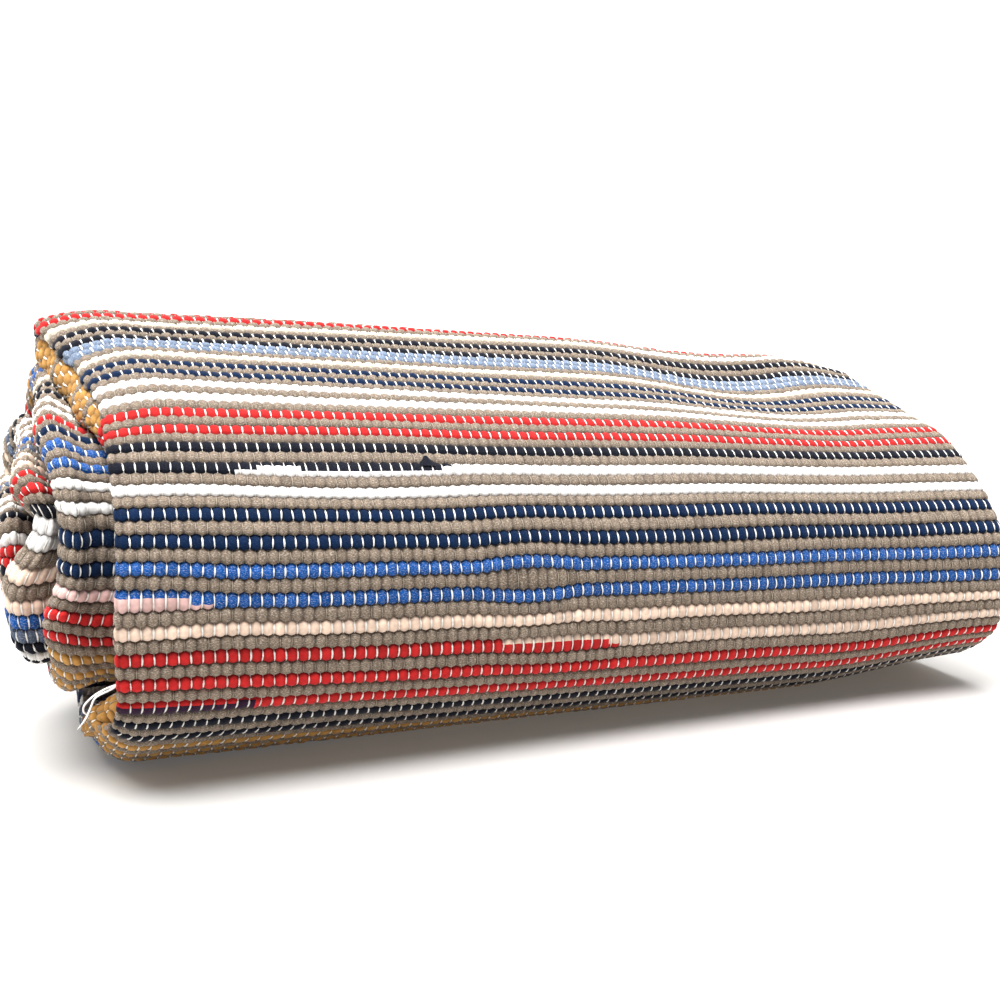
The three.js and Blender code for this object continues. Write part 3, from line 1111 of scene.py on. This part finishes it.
def weave_material():
    """Cotton jersey strips: dyed row by row, heathered, with painted shade in the grooves and pinches
    between the beads, finely fibrous.
    """
    material = bpy.data.materials.new("rag_weave")
    tree = Tree(material)
    dye = tree.node("VertexColor", {"layer_name": "dye"})
    fleck = tree.node("VertexColor", {"layer_name": "dye"}, output="Alpha")
    painted_shade = tree.node("Attribute", {"attribute_name": "painted_shade"}, output="Fac")
    weave_map = tree.node("UVMap", {"uv_map": "weave"})
    stretched = tree.node("Mapping", {}, {"Vector": weave_map, "Scale": (1.0, 3.0, 1.0)})
    object_place = tree.node("TexCoord", {}, output="Object")
    fine = tree.noise(stretched, FLECK_SCALE, detail=4.0, Roughness=0.7)
    fibre = tree.noise(object_place, FIBRE_SCALE, detail=3.0)
    cloudy = tree.noise(object_place, CLOUD_SCALE, detail=3.0)
    light = (fine - LIGHT_ABOVE).math("MULTIPLY", FLECK_CONTRAST, clamp=True)
    dark = (DARK_BELOW - fine).math("MULTIPLY", FLECK_CONTRAST, clamp=True)
    toned = tree.shaded(dye, 0.60 + cloudy * 0.80)
    flecked = tree.blend(light * fleck, toned, LIGHT_FLECK)
    deepened = tree.blend(dark * fleck * 0.8, flecked, DARK_FLECK)
    # Painted shade: the colour is darkened toward a dark tint where the weave's relief is deepest, in the
    # grooves and between the beads.
    shadowed = tree.blend(1.0, deepened, PAINTED_SHADE_TINT, "MULTIPLY")
    tree.finish({
        "Base Color": tree.blend(painted_shade.math("POWER", 1.3) * 0.85, deepened, shadowed),
        "Normal": tree.bump(0.35, 0.0004, fibre * 0.6 + fine * 0.5),
        "Roughness": 0.92,
        "Specular IOR Level": 0.1,
        "Sheen Weight": 0.13,
        "Sheen Roughness": 0.5,
    })
    return material


def thread_material():
    """Thin white cotton warp."""
    material = bpy.data.materials.new("warp_cotton")
    tree = Tree(material)
    object_place = tree.node("TexCoord", {}, output="Object")
    fibre = tree.noise(object_place, WARP_FIBRE_SCALE, detail=3.0)
    dye = tree.node("VertexColor", {"layer_name": "dye"})
    tree.finish({
        "Base Color": tree.shaded(dye, 0.75 + fibre * 0.5),
        "Normal": tree.bump(0.3, 0.0002, fibre),
        "Roughness": 0.85,
    })
    return material


def floor_material():
    """Pale matt paper that glows a little."""
    material = bpy.data.materials.new("pale_floor")
    Tree(material).finish({
        "Base Color": (0.58, 0.575, 0.565, 1.0),
        "Roughness": 0.8,
        "Emission Color": (1.0, 0.94, 0.87, 1.0),
        "Emission Strength": 0.11,
    })
    return material


# The stitches and rows that each woven face and each set of threads covers.
SEAM_ROW = round(row_at(0.98))
LAST_ROW = int(row_at(END_WRAP)) - 1
OUTER = (outer_path_at, 1, (-2.2, 96.2))
LEFT = (left_path_at, -1, (-8.4, 3.6))
RIGHT = (right_path_at, 1, (-2.6, 6.4))
HEM = (hem_path_at, -1, (2.0, 86.0))


def woven_faces():
    return [
        woven_face("under_weave", *OUTER, (HEM_ROW + 1, -24), PLAIN_MESH),
        woven_face("front_weave", *OUTER, (-23, 10), FINE_MESH),
        woven_face("top_weave", *OUTER, (11, 43), FINE_MESH),
        woven_face("back_weave", *OUTER, (44, SEAM_ROW), MEDIUM_MESH),
        woven_face("left_fold_weave", *LEFT, (HEM_ROW + 1, LAST_ROW), FINE_MESH, 0.0),
        woven_face("right_fold_weave", *RIGHT, (SEAM_ROW + 1, LAST_ROW), MEDIUM_MESH, WIDTH),
        woven_face("hem_weave", *HEM, (HEM_ROW + 1, -26), PLAIN_MESH),
    ]


def all_threads():
    """The warp threads in the order in which they draw their random values, and the frayed ones."""
    threads = [
        warp_threads("front_warp", outer_path_at, 1, (0, 92), (-24, 11)),
        warp_threads("top_warp", outer_path_at, 1, (0, 92), (12, 60)),
        warp_threads("left_fold_warp", left_path_at, -1, (-8, 4), (HEM_ROW + 2, LAST_ROW - 1), 0.0),
    ]
    for number, points in enumerate(FRAYED_THREADS, 1):
        threads.append(frayed_thread(f"frayed_warp_{number}", points))
    return threads


cloth = core_cloth()
woven = woven_faces() + [hem_row(number, *ply) for number, ply in enumerate(HEM_PLIES, 1)]
threads = all_threads()
woven.append(cut_end())
pieces = woven + threads

weave = weave_material()
for made in [cloth, *woven]:
    made.data.materials.append(weave)
cotton = thread_material()
for made in threads:
    made.data.materials.append(cotton)

for made in [cloth, *pieces]:
    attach(made, "root")
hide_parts(RUG_NODE)
flat_width = lengths(core_line(EVEN_REACH, 0.0))[-1] * MM

# The floor, the light and the camera, in metres.
FLOOR_SIZE = 30.0
FLOOR_DROP = 0.0004
SKY = {"strength": 6.3, "angle": 52.0, "from": (-0.16, -0.15, 1.0)}
SOFTBOXES = (
    {"name": "left_softbox", "at": (-1.6, -1.2, 1.2), "size": 1.2, "power": 0.6},
    {"name": "front_fill", "at": (0.6, -2.2, 1.0), "size": 1.6, "power": 0.6},
)
SOFTBOX_AIM = (0, 0, 0.1)
WORLD_FRONT = 0.05
WORLD_BEHIND = 1.04
WORLD_TURN = (-0.25, 0.45)
VIEW_EXPOSURE = 0.13
VIEW_GAMMA = 0.88


def add_floor():
    bpy.ops.object.select_all(action="DESELECT")
    bpy.ops.mesh.primitive_plane_add(size=FLOOR_SIZE, location=(0, 0, -FLOOR_DROP))
    floor = bpy.context.object
    floor.name = "floor"
    floor.data.materials.append(floor_material())


def add_lamp(name, light, location, aim):
    lamp = bpy.data.objects.new(name, light)
    lamp.location = location
    lamp.rotation_euler = aim.to_track_quat("-Z", "Y").to_euler()
    bpy.context.scene.collection.objects.link(lamp)


def add_sky_light():
    """An even, soft light from above, a little from the front and the left."""
    light = bpy.data.lights.new("sky_light", "SUN")
    light.energy = SKY["strength"]
    light.angle = math.radians(SKY["angle"])
    add_lamp("sky_light", light, (0, 0, 0), -Vector(SKY["from"]))


def add_softboxes():
    for box in SOFTBOXES:
        light = bpy.data.lights.new(box["name"], "AREA")
        light.shape = "SQUARE"
        light.size = box["size"]
        light.energy = box["power"]
        add_lamp(box["name"], light, box["at"], Vector(SOFTBOX_AIM) - Vector(box["at"]))


def add_world():
    """A white studio, whose near side gives less light than it shows."""
    world = bpy.data.worlds.new("studio")
    tree = Tree(world, "Background")
    direction = tree.node("TexCoord")
    away = tree.node("SeparateXYZ", {}, [direction], output="Y")
    start, end = WORLD_TURN
    span = {"From Min": start, "From Max": end, "To Min": WORLD_FRONT, "To Max": WORLD_BEHIND}
    light = tree.node("MapRange", {"interpolation_type": "SMOOTHSTEP"}, {"Value": away, **span})
    shown = tree.node("LightPath", {}, output="Is Camera Ray") * WORLD_BEHIND
    tree.finish({"Color": (1, 1, 1, 1), "Strength": light.math("MAXIMUM", shown)})
    bpy.context.scene.world = world


# Where the picture is taken from: the place in the frame of the rug's first selvedge (mm), the turn
# to the right, the tilt down and the roll (degrees), and the focal length in picture widths.
CAMERA_PLACE = (-57.6, -729.6, 238.7)
CAMERA_TURN = 19.10
CAMERA_TILT = 7.98
CAMERA_ROLL = 1.01
CAMERA_FOCAL = 1.5167
SENSOR = 36.0
CLIP_START = 0.01


def add_camera():
    turn, tilt, roll = [math.radians(v) for v in (CAMERA_TURN, CAMERA_TILT, CAMERA_ROLL)]
    ahead = Vector((math.sin(turn) * math.cos(tilt), math.cos(turn) * math.cos(tilt), -math.sin(tilt)))
    level = Vector((math.cos(turn), -math.sin(turn), 0))
    upward = level.cross(ahead)
    right = level * math.cos(roll) - upward * math.sin(roll)
    up = level * math.sin(roll) + upward * math.cos(roll)
    data = bpy.data.cameras.new("camera")
    data.sensor_width = SENSOR
    data.lens = SENSOR * CAMERA_FOCAL
    data.clip_start = CLIP_START
    camera = bpy.data.objects.new("camera", data)
    bpy.context.scene.collection.objects.link(camera)
    x, y, z = CAMERA_PLACE
    turned = Matrix((right, up, -ahead)).transposed().to_4x4()
    turned.translation = Vector((x - CENTRE_X, y - CENTRE_Y, z)) * MM
    camera.matrix_world = turned
    bpy.context.scene.camera = camera


add_floor()
add_sky_light()
add_softboxes()
add_world()
add_camera()
view = bpy.context.scene.view_settings
view.view_transform = "Standard"
view.exposure = VIEW_EXPOSURE
view.gamma = VIEW_GAMMA
